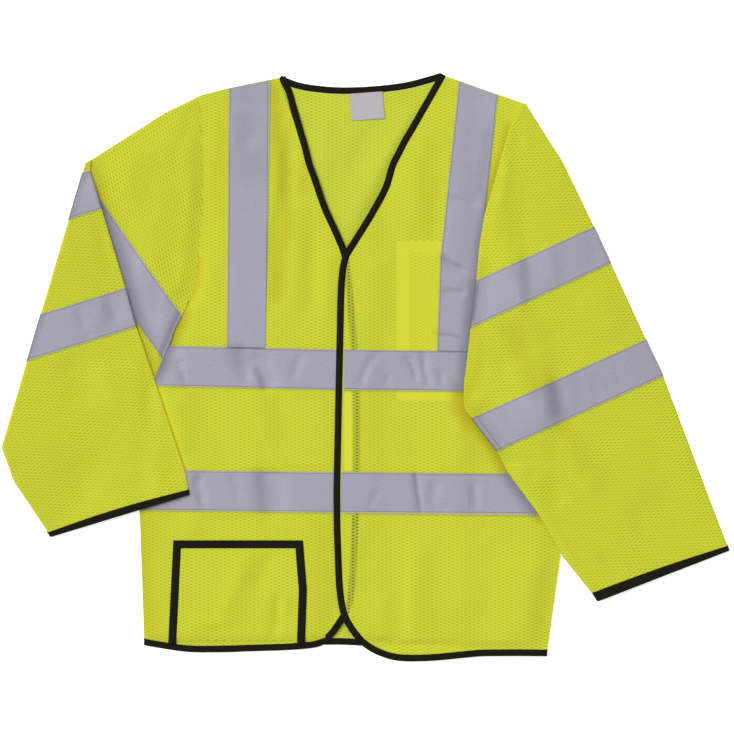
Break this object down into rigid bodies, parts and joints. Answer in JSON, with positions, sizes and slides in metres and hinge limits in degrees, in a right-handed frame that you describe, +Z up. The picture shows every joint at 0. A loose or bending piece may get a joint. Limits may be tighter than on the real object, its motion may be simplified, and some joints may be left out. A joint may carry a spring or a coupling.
{
  "type": "hi-vis long-sleeve shirt",
  "caption": "Hi-vis long-sleeve mesh shirt laid flat, V-necked and open at the front, with reflective tapes, dark bound edges and a patch pocket.",
  "frame": {"origin": "on the surface that the shirt lies on, below the middle of its bounding box", "axes": "+X towards the wearer's left sleeve, +Y from the hem to the neck, +Z up out of the shirt's front"},
  "size_m": [0.9596, 0.7763, 0.0181],
  "materials": {
    "mesh_fabric": "lime-yellow eyelet-knit polyester mesh, matt",
    "reflective_tape": "silver-grey retroreflective tape, satin",
    "binding": "near-black woven bias binding, matt",
    "hook_and_loop": "yellow hook-and-loop strip, matt nap",
    "label": "white woven satin label, bare"
  },
  "bodies": {
    "root": {"back_panel": "mesh_fabric", "front_right": "mesh_fabric", "front_left": "mesh_fabric", "sleeve_right": "mesh_fabric", "sleeve_left": "mesh_fabric", "pocket_patch": "mesh_fabric", "chest_pocket": "mesh_fabric", "brace_right": "reflective_tape", "brace_left": "reflective_tape", "chest_tape_right": "reflective_tape", "chest_tape_left": "reflective_tape", "waist_tape_right": "reflective_tape", "waist_tape_left": "reflective_tape", "back_brace_right": "reflective_tape", "back_brace_left": "reflective_tape", "back_chest_tape": "reflective_tape", "back_waist_tape": "reflective_tape", "sleeve_right_tape_upper": "reflective_tape", "sleeve_right_tape_lower": "reflective_tape", "sleeve_left_tape_upper": "reflective_tape", "sleeve_left_tape_lower": "reflective_tape", "binding_back_neck": "binding", "binding_back_hem": "binding", "binding_front_right": "binding", "binding_front_left": "binding", "cuff_binding_right": "binding", "cuff_binding_left": "binding", "pocket_binding": "binding", "closure_strip": "hook_and_loop", "neck_label": "label"}
  },
  "joints": []
}
